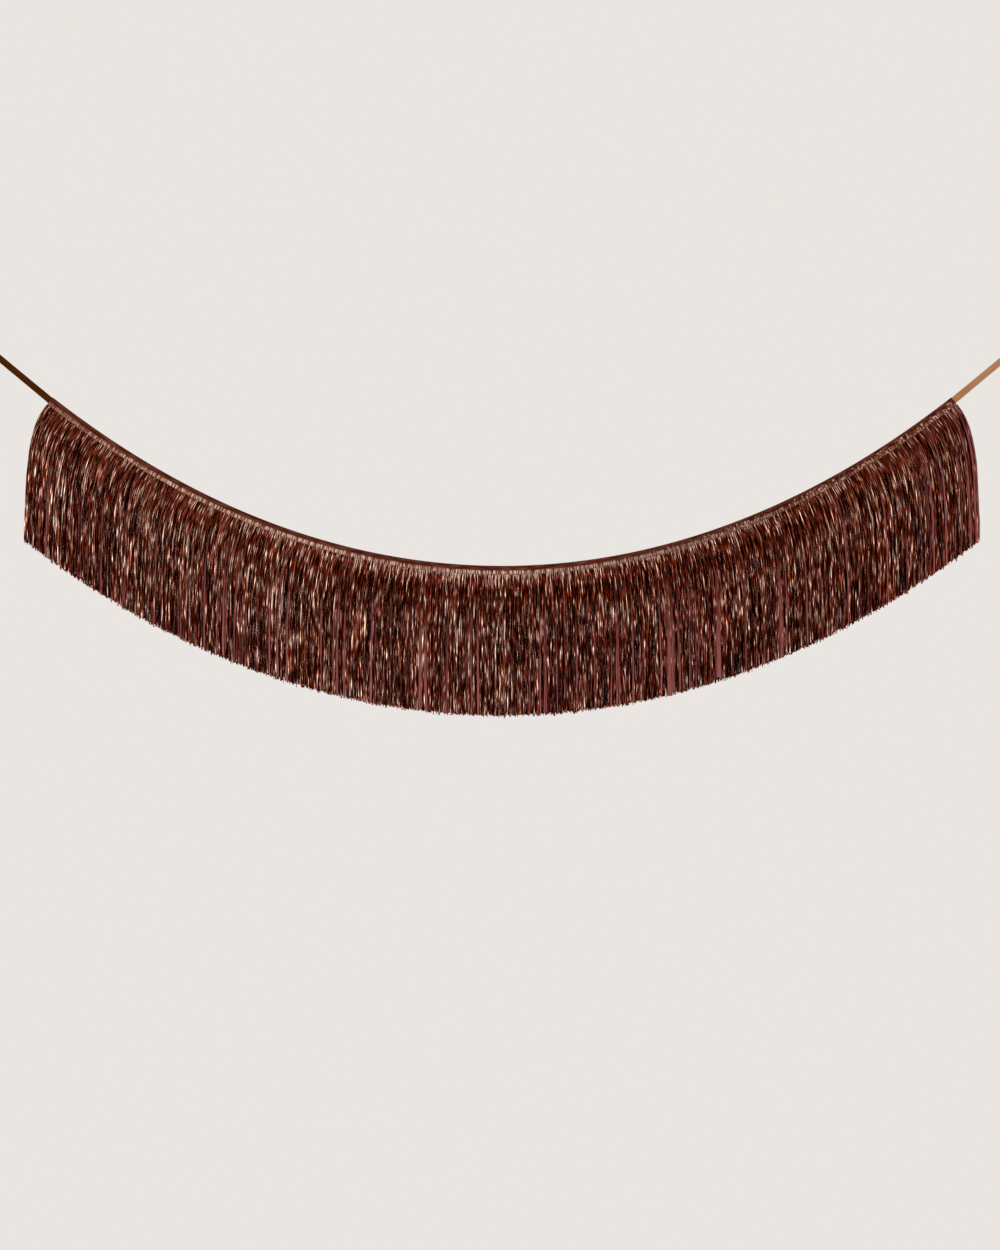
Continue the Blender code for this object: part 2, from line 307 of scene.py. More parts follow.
def satin_material(name, length, shades, shine):
    """Satin for a ribbon of this length, with its colour, thread lines and sheen."""
    made, tree, shader = new_material(name)
    uv = add_node(tree, "ShaderNodeUVMap", {}, uv_map=UV_MAP)
    threads = RIBBON_WIDTH / WARP_SPACING
    warp = lay_pattern(tree, uv, threads, length / WARP_RUN, {"Detail": 2.0})
    patches = lay_pattern(tree, uv, PATCHES_ACROSS, length / PATCH_RUN, {"Detail": 1.0})
    mix = {"Factor": 0.35, "A": warp, "B": patches}
    both = add_node(tree, "ShaderNodeMix", mix, data_type="FLOAT")
    colours = add_node(tree, "ShaderNodeValToRGB", {"Fac": both}, zip(SHADE_PLACES, shades))
    relief = {"Height": warp, "Strength": 0.25, "Distance": 0.05 * MM}
    bump = add_node(tree, "ShaderNodeBump", relief)
    tangent = add_node(tree, "ShaderNodeTangent", {}, direction_type="UV_MAP", uv_map=UV_MAP)
    feed(shader, {"Base Color": colours, "Normal": bump, "Tangent": tangent})
    feed(shader, {"Roughness": 0.55 - 0.2 * shine, "Specular IOR Level": 0.02 + 0.58 * shine})
    feed(shader, {"Anisotropic": 0.7 * shine, "Anisotropic Rotation": 0.25})
    feed(shader, {"Sheen Weight": 0.12 * shine, "Sheen Roughness": 0.4})
    feed(shader, {"Sheen Tint": linear("#d8a860")})
    return made


def satin_pair(use, length):
    """(face, back) for a ribbon of this length: the face with painted light, the back with painted
    shade.
    """
    face = satin_material(f"satin_face_painted_light_{use}", length, FACE_TONES_PAINTED_LIGHT, 1.0)
    return face, satin_material(f"satin_back_painted_shade_{use}", length, BACK_TONES_PAINTED_SHADE, 0.0)


tail_satin = satin_pair("tail", TAIL_LENGTH + MOUTH_DEPTH)
inner_satin = satin_pair("inside", HEADER_LENGTH)
tied_satin = satin_pair("tied", TIED_LENGTH)
print("satin", [material.name for material in (*tail_satin, *inner_satin, *tied_satin)])

# %% [markdown]
# ## The ribbon's tails
# Each tail leaves the header's mouth and runs taut to its knot, where the ribbon is drawn
# in to less than half its width, in pleats. The left tail shows the ribbon's back, with its
# painted shade, and the right one its face, with its painted light.
# It could be a curve with a flat profile, but a bent sheet lets the width, the roll and
# the pleats change along the way.

# %% Ribbon tails
RIBBON_WEAVE = 0.35 * MM
GATHERED, GATHER_REACH, FULLY_GATHERED = 6 * MM, 16 * MM, 0.35
PLEAT, TAIL_PLEATS, TIED_PLEATS = 0.7 * MM, 3, 2
TAIL_ROLLS = {"left": math.radians(-14), "right": math.radians(20)}
ROLL_REACH = 4 * RIBBON_WIDTH
TAIL_WAVE, TAIL_WAVE_RUN = 0.5 * MM, 17 * MM


def tail_place(roll):
    """The rule for a right-hand tail that is turned by roll about its own line."""

    def place(u, v):
        distance = v * (TAIL_LENGTH + MOUTH_DEPTH) - MOUTH_DEPTH
        drawn = 1 - fan_out((TAIL_LENGTH - distance) / GATHER_REACH - FULLY_GATHERED)
        offset = (u - 0.5) * (RIBBON_WIDTH + (GATHERED - RIBBON_WIDTH) * drawn)
        turn = roll * ease(distance / ROLL_REACH) * (1 - drawn)
        depth = offset * np.sin(turn) + PLEAT * drawn * np.cos(u * 2 * TAIL_PLEATS * np.pi)
        depth += TAIL_WAVE * ease(distance / RIBBON_WIDTH) * np.sin(distance / TAIL_WAVE_RUN)
        inside = on_header(HALF_LENGTH + np.minimum(distance, 0), -offset, depth)
        outside = (
            HEADER_END
            + np.outer(np.maximum(distance, 0), TAIL_WAY)
            + np.outer(offset * np.cos(turn), TAIL_ACROSS)
            + np.outer(depth, (0, 1, 0))
        )
        return np.where((distance < 0)[:, None], inside, outside)

    return place


tails = {}
for side, roll in TAIL_ROLLS.items():
    sheet = lay_out(cut_sheet(20, 90), tail_place(roll), RIBBON_WEAVE, inner=1)
    # The left tail shows the back, painted dark as painted shade; the right one the face, painted
    # light.
    satins = tail_satin if side == "left" else tail_satin[::-1]
    tails[side] = new_piece(f"{side}_satin_tail", sheet, *satins, mirrored=side == "left")
    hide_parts(f"{side}_ribbon_tail")
    print(tails[side].name, len(tails[side].data.polygons), "faces")

# %% [markdown]
# ## The tied ends
# The knot is an overhand knot, pulled tight: a lump of folded ribbon with a few turns of
# it lying across each other. A ball alone would look like a bead, so turns of ribbon,
# each a bent sheet with a crease or two, are laid round a core.

# %% Knots
KNOT_RADIUS = 6.5 * MM
CORE_SHAPE = (0.85, 0.80, 0.84)
# Radius and width, tilt and twist of the axis, and place off the middle, in knot radii
KNOT_TURNS = (
    (0.86, 0.95, math.pi / 2 - TAIL_SLOPE, 0, 0.0),
    (0.90, 0.80, math.radians(14), math.radians(20), 0.12),
    (0.93, 0.70, math.radians(112), math.radians(-24), -0.06),
)


def ball_of_ribbon():
    """The core: folds of ribbon, packed so tightly that only their edges show as ridges."""
    bm = bmesh.new()
    bm.loops.layers.uv.new(UV_MAP)
    bmesh.ops.create_uvsphere(bm, u_segments=40, v_segments=24, radius=1, calc_uvs=True)
    for vert in bm.verts:
        across = vert.co.x * TAIL_ACROSS[0] + vert.co.z * TAIL_ACROSS[2]
        ridge = 0.03 * math.cos(16 * across + 3 * noise.noise(vert.co * 1.5))
        dent = 1 + 0.08 * noise.noise(vert.co * 2.2) + ridge
        vert.co = vert.co * Vector(CORE_SHAPE) * dent * KNOT_RADIUS
    # The core wears the satin's back, painted dark: painted shade deep in the knot, between its
    # turns.
    for face in bm.faces:
        face.material_index = 1
    return bm


def add_turn(bm, radius, width, tilt, twist, lift):
    """One turn of ribbon round the core, of changing width and with soft folds."""
    lean = np.array(Matrix.Rotation(twist, 3, "Z") @ Matrix.Rotation(tilt, 3, "Y"))

    def place(u, v):
        round_it = v * 2 * np.pi * 0.995
        away = (u - 0.5) * width * (1 + 0.16 * np.sin(2 * round_it + lift * 9))
        creases = 0.035 * np.cos(u * 5 * np.pi + 1.3 * np.sin(round_it))
        bulges = 0.04 * np.sin(3 * round_it + tilt * 5)
        height = away + lift * radius
        out = (1 + creases + bulges) * np.sqrt(np.clip(radius**2 - height**2, 0.1, 1))
        ring = np.stack([out * np.cos(round_it), out * np.sin(round_it), height], axis=-1)
        return ring @ lean.T * KNOT_RADIUS

    add_part(bm, lay_out(cut_sheet(12, 48), place, RIBBON_WEAVE, inner=1))


def tied_knot():
    """The core with its turns of ribbon, moved to the right-hand knot's place."""
    bm = ball_of_ribbon()
    for turn in KNOT_TURNS:
        add_turn(bm, *turn)
    bmesh.ops.translate(bm, verts=bm.verts, vec=KNOT_CENTRE)
    bmesh.ops.recalc_face_normals(bm, faces=bm.faces)
    return bm


knots = {}
for side in ("left", "right"):
    knots[side] = new_piece(
        f"{side}_tied_knot", tied_knot(), *tied_satin, mirrored=side == "left"
    )
    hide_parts(f"{side}_knot")
    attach(knots[side], "root")
    print(knots[side].name, len(knots[side].data.polygons), "faces")

# %% [markdown]
# The hanging loop is the same ribbon, turned edge-on: a teardrop that starts and ends in
# the knot, and opens to its full width on the hook. The short end is what is left over
# after tying. It hangs down, curls a little, and is cut on a slant so that it won't fray.

# %% Shapes of the loops and short ends
LOOP_WIDTH, LOOP_ROOT, LOOP_BAND, LOOP_START = 18 * MM, 3.4 * MM, 0.6 * MM, 0.3 * KNOT_RADIUS
TEARDROP_PEAK = 4 / math.sqrt(27)  # the highest value of sin(t) * sin(t / 2)
END_LENGTH, END_SLANT, END_ANGLE, END_START = 36 * MM, 7 * MM, math.radians(62), 0.5 * KNOT_RADIUS
CURL, CURL_RUN, CUP = 2.2 * MM, 9 * MM, 6


def loop_place(u, v):
    """The teardrop: the way round goes up one leg, over the hook and down the other."""
    turn = np.pi * (1 - np.abs(2 * v - 1))
    leg = np.sign(0.5 - v + 1e-9)
    crown = LOOP_LENGTH + LOOP_BAND / 2
    away = LOOP_START + (crown - LOOP_START) * (1 - np.cos(turn)) / 2
    bulge = (LOOP_WIDTH - LOOP_BAND) / 2 * np.sin(turn) * np.sin(turn / 2) / TEARDROP_PEAK
    spread = leg * (LOOP_ROOT / 2 * np.cos(turn / 2) ** 2 + bulge)
    opened = fan_out((away - KNOT_RADIUS) / GATHER_REACH)
    width = GATHERED + (RIBBON_WIDTH - GATHERED) * opened
    pleat = PLEAT * (1 - opened) * np.cos(u * 2 * TIED_PLEATS * np.pi)
    centre = KNOT_CENTRE + np.outer(away, TAIL_WAY) + np.outer(spread + leg * pleat, TAIL_ACROSS)
    return centre + np.outer((u - 0.5) * width, (0, 1, 0))


def end_place(u, v):
    """The short end: it leaves the knot sideways, and bends as it hangs down."""
    length = v * (END_LENGTH + END_START)
    share = length / END_LENGTH
    angle = END_ANGLE + (np.pi / 2 - END_ANGLE) * share / 2
    opened = fan_out((length - END_START) / GATHER_REACH)
    offset = (u - 0.5) * (GATHERED + (RIBBON_WIDTH - GATHERED) * opened)
    way = np.stack([np.cos(angle), 0 * angle, -np.sin(angle)], axis=-1)
    across = np.stack([np.sin(angle), 0 * angle, np.cos(angle)], axis=-1)
    length = length - (u - 0.5) * END_SLANT * ease(v * 3 - 2)
    curl = (CURL * np.sin(length / CURL_RUN) + CUP * offset**2) * opened
    pleat = PLEAT * (1 - opened) * np.cos(u * 2 * TIED_PLEATS * np.pi)
    start = KNOT_CENTRE + END_START * np.array([math.cos(END_ANGLE), 0, -math.sin(END_ANGLE)])
    flat = start + way * length[:, None] + across * offset[:, None]
    return flat + np.outer(curl + pleat, (0, 1, 0))


print("a loop's eye is", round((LOOP_WIDTH - 2 * LOOP_BAND) / MM, 1), "mm wide")

ROUTE_POINTS = 24

for side, sign in (("left", -1), ("right", 1)):
    sheet = lay_out(cut_sheet(12, 96), loop_place, RIBBON_WEAVE, inner=1)
    loop = new_piece(f"{side}_satin_loop", sheet, *tied_satin, mirrored=sign < 0)
    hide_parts(f"{side}_hanging_loop")
    sheet = lay_out(cut_sheet(12, 40), end_place, RIBBON_WEAVE, inner=1)
    end = new_piece(f"{side}_short_end", sheet, *tied_satin, mirrored=sign < 0)
    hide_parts(f"{side}_ribbon_end")
    for piece in (loop, end):
        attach(piece, "root")
    middle = tail_place(0)(np.full(ROUTE_POINTS, 0.5), np.linspace(0, 1, ROUTE_POINTS))
    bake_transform(tails[side])
    print(side, "loop and end", len(loop.data.polygons), len(end.data.polygons), "faces")

# %% [markdown]
# ## Metallised film
# The film is polyester, about 0.025 mm thick, with a vapour-deposited aluminium mirror
# under a brown tint. It is smooth, so it mirrors the room: a strip is dark where it faces
# its neighbours, and brown where it faces the room. Its colour adds painted light to that:
# short pale dashes in it are painted glints, and its darkest tints are partly painted
# shade. Every strip is cut from the same sheet, so its UV map is one narrow column of it.
# The last columns are kept apart for a few broad, flat and calm strips, which look mauve.
#
# The dashes are stretched noise that a Color Ramp turns into tints. Near the seam the noise
# gets more contrast: more painted glints, with painted shade between them. A second ramp,
# read down the strips, is added to the noise: painted light makes them palest just below
# the seam, and painted shade darkest a little further down. Columns to the right are
# painted darker, and the header's right end takes more of them: painted shade on that end.

# %% What all the film has
FILM_COLUMNS, BROAD_COLUMNS = 24, 4


def finish_film(tree, shader, colour, creases, roughness):
    """Metal under its tint, with fine creases and uneven polish."""
    relief = {"Height": creases, "Strength": 0.3, "Distance": 0.4 * MM}
    bump = add_node(tree, "ShaderNodeBump", relief)
    terms = {0: creases, 1: 0.12, 2: roughness}
    uneven = add_node(tree, "ShaderNodeMath", terms, operation="MULTIPLY_ADD")
    feed(shader, {"Base Color": colour, "Normal": bump, "Roughness": uneven, "Metallic": 1.0})
    feed(shader, {"Specular Tint": linear("#8c4a34")})


print("film in", FILM_COLUMNS, "columns,", BROAD_COLUMNS, "of them broad")

# %% Film of the strips
DASH, DASHES_ACROSS = 24 * MM, 1.7 * FILM_COLUMNS
CREASE, CREASES_ACROSS = DASH / 2.5, 2.3 * FILM_COLUMNS
NOISE_MIDDLE = 0.58
# near the seam the dashes get more contrast: painted glints with painted shade between them
PAINTED_GLINT_REACH, PAINTED_GLINT_CONTRAST = 0.18, 0.9
SHADE_GAIN, SHADE_SHIFT = 0.285, -0.125
# Narrow strips: dark brown that is partly painted shade, up to pale cream dashes that are painted
# glints
NARROW_TINTS_PAINTED_SHADE_GLINTS = (
    (0.30, "#220400"),
    (0.42, "#511605"),
    (0.48, "#642615"),
    (0.55, "#854a3b"),
    (0.605, "#b98d7d"),
    (0.66, "#edd3c3"),
)
# Broad strips: painted shade at their top, going to mauve further down
BROAD_TINTS_PAINTED_SHADE = ((0.0, "#3c1208"), (0.2, "#622f27"), (0.45, "#844b49"), (1.0, "#925453"))
# Added to the tint down the strips: painted light just below the seam, painted shade a little
# further down
DOWN_PAINTED_LIGHT_AND_SHADE = (
    (0.0, "#ffffff"),
    (0.04, "#aeaeae"),
    (0.10, "#9c9c9c"),
    (0.125, "#242424"),
    (0.155, "#545454"),
    (0.21, "#a0a0a0"),
    (0.3, "#ababab"),
)


def slit_film():
    """The film of the strips, in columns; the film heads wear a broad strip's."""
    made, tree, shader = new_material("slit_metallised_film")
    uv = add_node(tree, "ShaderNodeUVMap", {}, uv_map=UV_MAP)
    place = add_node(tree, "ShaderNodeSeparateXYZ", {"Vector": uv})
    fallen = place.outputs["Y"]
    dashes = lay_pattern(tree, uv, DASHES_ACROSS, FRINGE_LENGTH / DASH, {"Detail": 1.2})
    creases = lay_pattern(tree, uv, CREASES_ACROSS, FRINGE_LENGTH / CREASE, {"Detail": 2.0})

    terms = {0: dashes, 1: NOISE_MIDDLE}
    off_middle = add_node(tree, "ShaderNodeMath", terms, operation="SUBTRACT")
    # more contrast near the seam: painted glints and painted shade
    span = {"Value": fallen, "From Max": PAINTED_GLINT_REACH, "To Min": PAINTED_GLINT_CONTRAST, "To Max": 0.0}
    painted_glint_contrast = add_node(tree, "ShaderNodeMapRange", span)
    terms = {0: off_middle, 1: painted_glint_contrast, 2: dashes}
    tint = add_node(tree, "ShaderNodeMath", terms, operation="MULTIPLY_ADD")
    # the painted light and shade, read down the strips
    shade = add_node(tree, "ShaderNodeValToRGB", {"Fac": fallen}, DOWN_PAINTED_LIGHT_AND_SHADE)
    terms = {0: shade, 1: SHADE_GAIN, 2: SHADE_SHIFT}
    paler = add_node(tree, "ShaderNodeMath", terms, operation="MULTIPLY_ADD")
    # painted shade: columns to the right are darker
    span = {"Value": place.outputs["X"], "To Min": 0.05, "To Max": -0.06}
    painted_shade_by_column = add_node(tree, "ShaderNodeMapRange", span)
    for more in (paler, painted_shade_by_column):
        tint = add_node(tree, "ShaderNodeMath", {0: tint, 1: more}, operation="ADD")
    narrow = add_node(tree, "ShaderNodeValToRGB", {"Fac": tint}, NARROW_TINTS_PAINTED_SHADE_GLINTS)

    # a broad strip gets lighter further down: painted shade at its top
    terms = {0: off_middle, 1: 1.2, 2: fallen}
    tint = add_node(tree, "ShaderNodeMath", terms, operation="MULTIPLY_ADD")
    broad = add_node(tree, "ShaderNodeValToRGB", {"Fac": tint}, BROAD_TINTS_PAINTED_SHADE)
    terms = {0: place.outputs["X"], 1: 1 - BROAD_COLUMNS / FILM_COLUMNS}
    is_broad = add_node(tree, "ShaderNodeMath", terms, operation="GREATER_THAN")
    mix = {"Factor": is_broad, "A": narrow, "B": broad}
    colour = add_node(tree, "ShaderNodeMix", mix, data_type="RGBA")
    terms = {0: is_broad, 1: 0.18, 2: 0.16}
    polish = add_node(tree, "ShaderNodeMath", terms, operation="MULTIPLY_ADD")
    finish_film(tree, shader, colour, creases, polish)
    return made


strip_film = slit_film()
print("film", strip_film.name)

# %% [markdown]
# ## The ribbon inside and the film sleeve over it
# The ribbon lies loose in the sleeve, and only its ends can be looked at, through the two
# mouths. The sleeve is one fold of film: up the front, over the ribbon, and down the back
# to the seam. It is smooth and tight along its left and middle, and crumpled at its right,
# where the fold was pulled along the ribbon. Small puckers follow the stitches.

# %% Channel ribbon
MOUTH_GAP = 0.3 * MM
INNER_WAVE, INNER_WAVE_RUN = 0.15 * MM, 40 * MM


def channel_place(u, v):
    """The ribbon inside, bent along the header and a little wavy."""
    along = (v - 0.5) * 2 * (HALF_LENGTH - MOUTH_DEPTH - MOUTH_GAP)
    return on_header(along, (0.5 - u) * RIBBON_WIDTH, INNER_WAVE * np.sin(along / INNER_WAVE_RUN))


sheet = lay_out(cut_sheet(6, 360), channel_place, RIBBON_WEAVE, inner=1)
channel = new_piece("satin_in_sleeve", sheet, *inner_satin)
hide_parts("channel_ribbon")
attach(channel, "banner")
print(channel.name, len(channel.data.polygons), "faces")

# %% Sleeve film
STREAKS = (8, HEADER_LENGTH / (30 * MM), {"Detail": 2.0})
PUCKERS = (1.6, HEADER_LENGTH / (2.8 * MM), {"Detail": 2.0})
FACETS = (9, HEADER_LENGTH / (3.4 * MM), {}, "ShaderNodeTexVoronoi")
FOLD_TINTS = ((0.35, "#45190e"), (0.52, "#5d2d20"), (0.7, "#774638"))
# painted shade: the film is darkest along the top of the fold
EDGE_PAINTED_SHADE = ((0.0, "#2e0c05"), (0.12, "#4e2015"))
# painted glints: pale lines in the film along the seam
SEAM_PAINTED_GLINT_TINTS = ((0.4, "#683626"), (0.5, "#a06b59"), (0.6, "#eacfc1"))
# painted shade and painted glints: dark facets and a few pale ones on the crumpled right end
CRUMPLE_PAINTED_SHADE_GLINTS = ((0.42, "#3c1207"), (0.56, "#582719"), (0.65, "#82503e"), (0.73, "#d2a491"))
# How strong the seam's painted glints are along the header: strongest from about a third of the
# way to the middle, weaker towards both ends
PAINTED_GLINTS_ALONG = (
    (0.0, "#808080"),
    (0.12, "#e0e0e0"),
    (0.3, "#ffffff"),
    (0.5, "#ffffff"),
    (0.68, "#b0b0b0"),
    (0.88, "#7c7c7c"),
)


def folded_film():
    """The sleeve's film, with painted shade along its fold and painted glints at its seam."""
    made, tree, shader = new_material("folded_metallised_film")
    uv = add_node(tree, "ShaderNodeUVMap", {}, uv_map=UV_MAP)
    place = add_node(tree, "ShaderNodeSeparateXYZ", {"Vector": uv})
    streaks, puckers, facets = (
        lay_pattern(tree, uv, *pattern) for pattern in (STREAKS, PUCKERS, FACETS)
    )

    terms = {0: place.outputs["X"], 1: 0.5}
    from_fold = add_node(tree, "ShaderNodeMath", terms, operation="SUBTRACT")
    one_side = add_node(tree, "ShaderNodeMath", {0: from_fold}, operation="ABSOLUTE")
    share = add_node(tree, "ShaderNodeMath", {0: one_side, 1: 2.0}, operation="MULTIPLY")
    areas = []
    for value, first, last in (
        (share, 0.0, 0.14),
        (share, 0.22, 0.42),
        (share, 0.46, 0.66),
        (place.outputs["Y"], 0.6, 0.8),
    ):
        span = {"Value": value, "From Min": first, "From Max": last}
        areas.append(add_node(tree, "ShaderNodeMapRange", span, interpolation_type="SMOOTHSTEP"))
    off_edge, low_half, at_seam, to_right = areas
    patch = add_node(tree, "ShaderNodeMath", {0: to_right, 1: low_half}, operation="MULTIPLY")
    # the seam's painted glints, set along the header
    painted_glint_strength = add_node(tree, "ShaderNodeValToRGB", {"Fac": place.outputs["Y"]}, PAINTED_GLINTS_ALONG)
    at_seam = add_node(tree, "ShaderNodeMath", {0: at_seam, 1: painted_glint_strength}, operation="MULTIPLY")

    # crumpled facets, which the ramp paints as shade and glints
    mix = {"Factor": 0.35, "A": facets.outputs["Color"], "B": puckers}
    crumple = add_node(tree, "ShaderNodeMix", mix, data_type="FLOAT")
    # painted shade along the fold
    colour = add_node(tree, "ShaderNodeValToRGB", {"Fac": share}, EDGE_PAINTED_SHADE)
    for where, pattern, tints in (
        (off_edge, streaks, FOLD_TINTS),
        (patch, crumple, CRUMPLE_PAINTED_SHADE_GLINTS),
        (at_seam, puckers, SEAM_PAINTED_GLINT_TINTS),
    ):
        over = add_node(tree, "ShaderNodeValToRGB", {"Fac": pattern}, tints)
        mix = {"Factor": where, "A": colour, "B": over}
        colour = add_node(tree, "ShaderNodeMix", mix, data_type="RGBA")
    mix = {"Factor": to_right, "A": puckers, "B": facets}
    creases = add_node(tree, "ShaderNodeMix", mix, data_type="FLOAT")
    finish_film(tree, shader, colour, creases, 0.22)
    return made


fold_film = folded_film()
print("film", fold_film.name)

# %% Header sleeve
STITCH_PITCH = 3 * MM
SLEEVE_FILM = 0.15 * MM
# The profile from the seam's lower edge up to the fold: below the centre line, and depth
FOLD_BELOW = np.array([9.25, 8.15, 7.2, 6.2, 3, -3, -6.1, -6.9, -7.1]) * MM
FOLD_DEPTH = np.array([0.16, 0.14, 0.3, 0.72, 0.82, 0.82, 0.7, 0.4, 0]) * MM
LEAST_CRUMPLE, CRUMPLE_FROM, CRUMPLE_OVER = 0.12, 0.15, 0.35
# Size, seed and height of the folds; the third kind is drawn out along the header
BIG_FOLDS, SMALL_FOLDS = (5 * MM, 0, 0.34 * MM), (2.4 * MM, 3, 0.20 * MM)
LONG_FOLDS, LONG_FOLD_SQUEEZE = (3 * MM, 7, 0.10 * MM), (0.12, 1, 1)
PUFF, PUCKER, PUCKER_REACH = 0.12 * MM, 0.07 * MM, 1.6 * MM
EDGE_DIP, EDGE_DIP_RUN = 0.25 * MM, 8 * MM


def fold_place(u, v):
    """The sleeve: u goes up the front, over the fold and down the back, v goes along."""
    along = (v - 0.5) * HEADER_LENGTH
    side = np.where(u < 0.5, -1.0, 1.0)
    share = 1 - np.abs(2 * u - 1)
    gone = np.concatenate([[0], np.cumsum(np.hypot(np.diff(FOLD_BELOW), np.diff(FOLD_DEPTH)))])
    below = np.interp(share * gone[-1], gone, FOLD_BELOW)
    depth = np.interp(share * gone[-1], gone, FOLD_DEPTH)
    crumpled = LEAST_CRUMPLE + (1 - LEAST_CRUMPLE) * ease((along - CRUMPLE_FROM) / CRUMPLE_OVER)
    points = np.stack([along, below * 1.4, side * 3 * MM], axis=-1)
    crumple = rough(points, *BIG_FOLDS) + rough(points, *SMALL_FOLDS)
    drawn_out = rough(points * LONG_FOLD_SQUEEZE, *LONG_FOLDS)
    near_seam = np.exp(-(((below - SEAM_LINE) / PUCKER_REACH) ** 2))
    puckers = PUCKER * near_seam * np.cos(2 * np.pi * along / STITCH_PITCH)
    loose = np.sin(np.pi * share) ** 0.5
    depth = depth + loose * (crumple * crumpled + drawn_out + PUFF * crumpled) + puckers
    dip = rough(points * [0.2, 0, 0], EDGE_DIP_RUN, 5, EDGE_DIP)
    return on_header(along, below + dip * (1 - share) * crumpled, side * depth)


sleeve = new_piece("film_sleeve", lay_out(cut_sheet(26, 1220), fold_place, SLEEVE_FILM), fold_film)
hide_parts("header_sleeve")
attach(sleeve, "banner")
print(sleeve.name, len(sleeve.data.polygons), "faces")

# %% [markdown]
# ## The seam
# A row of lockstitches holds the sleeve closed, one thread on each face. A stitch is a
# short bit of thread that dives into the film at both ends. One is made from a six-sided
# cylinder, copied along the seam, and all the copies are bent to the header in one go.
# Spun polyester is matt, and its twisted plies make it a little mottled.

# %% Thread
THREAD, THREAD_GRAIN = 0.4 * MM, 0.5 * MM
THREAD_SHADES = ((0.35, "#4a2a1e"), (0.65, "#795545"))


def thread_material():
    """Spun polyester thread, matt and mottled."""
    made, tree, shader = new_material("spun_polyester_thread")
    place = add_node(tree, "ShaderNodeTexCoord", {})
    size = {"Vector": place.outputs["Object"], "Scale": 1 / THREAD_GRAIN, "Detail": 1.0}
    plies = add_node(tree, "ShaderNodeTexNoise", size)
    shades = add_node(tree, "ShaderNodeValToRGB", {"Fac": plies}, THREAD_SHADES)
    relief = {"Height": plies, "Strength": 0.4, "Distance": 0.05 * MM}
    bump = add_node(tree, "ShaderNodeBump", relief)
    feed(shader, {"Base Color": shades, "Normal": bump, "Roughness": 0.6, "Sheen Weight": 0.3})
    return made


sewing_thread = thread_material()
print("thread", sewing_thread.name, round(THREAD / MM, 1), "mm thick")

# %% Stitches
STITCH_LENGTH = 2.5 * MM
STITCH_DEPTH, STITCH_DIVE, FLATTENED = 0.30 * MM, 0.16 * MM, 0.8
WANDERS = ((0.12 * MM, 61), (0.08 * MM, 231))  # how far the row wanders, and how quickly


def cut_long_edges(bm, cuts):
    """Cuts the edges of a unit bar that run along Z."""
    long_edges = [edge for edge in bm.edges if abs(edge.verts[0].co.z - edge.verts[1].co.z) > 0.5]
    bmesh.ops.subdivide_edges(bm, edges=long_edges, cuts=cuts)


def one_stitch():
    """A unit stitch along Z, as a mesh to copy."""
    bm = bmesh.new()
    bm.loops.layers.uv.new(UV_MAP)
    bmesh.ops.create_cone(bm, cap_ends=True, segments=6, radius1=0.5, radius2=0.5, depth=1)
    cut_long_edges(bm, 3)
    return to_mesh("one_stitch", bm)


def copied(mesh, count):
    """A bmesh with count copies of a mesh, one after the other."""
    bm = bmesh.new()
    for _ in range(count):
        bm.from_mesh(mesh)
    return bm


stitch = one_stitch()
unit = np.array([vert.co[:] for vert in stitch.vertices])
stitch_count = int((HEADER_LENGTH - MOUTH_DEPTH) // STITCH_PITCH)
for side, sign in (("front", -1), ("back", 1)):
    bm = copied(stitch, stitch_count)
    start = (np.arange(stitch_count) - (stitch_count - 1) / 2)[:, None] * STITCH_PITCH
    along = start + unit[:, 2] * STITCH_LENGTH
    wander = sum(far * np.sin(start * quickly) for far, quickly in WANDERS)
    below = SEAM_LINE + wander + unit[:, 0] * THREAD
    dive = STITCH_DIVE * (2 * unit[:, 2]) ** 2
    depth = sign * (STITCH_DEPTH - dive + unit[:, 1] * THREAD * FLATTENED)
    for vert, point in zip(bm.verts, on_header(along, below, depth).reshape(-1, 3)):
        vert.co = point
    bmesh.ops.recalc_face_normals(bm, faces=bm.faces)
    row = new_piece(f"{side}_stitches", bm, sewing_thread)
    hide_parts(f"{side}_stitch_row")
    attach(row, "banner")
    print(row.name, stitch_count, "stitches,", len(row.data.polygons), "faces")

# %% [markdown]
# ## The fringe
# The film hangs in eight plies, four at the front and four at the back. Just below the
# seam the innermost film is still whole, and the strips lie over that head. Each strip is
# a copy of one thin bar, cut into twelve lengths so that it can bend and twist. The copies
# are moved together as arrays: each follows the way that the CAD strands hang, then turns
# about its own line, leans, and drifts with its neighbours into loose clumps. The innermost
# plies are pressed flat between the others, and let no light through. The head and strips
# of one panel are one piece, and ride on that panel's body.

# %% One strip
PLIES, STRIPS_PER_PLY, STRIP_LENGTHS = 8, 84, 12
STRIP_FILM = 0.09 * MM
FACE_SHARE, EDGE_SHARE = 0.42, 0.08  # of a column of film: face, edge, back, edge


def gone_share(unit_height):
    """How far down a strip a point is: the lengths are shortest at the top, where it bends."""
    return (0.5 - unit_height) ** 1.5


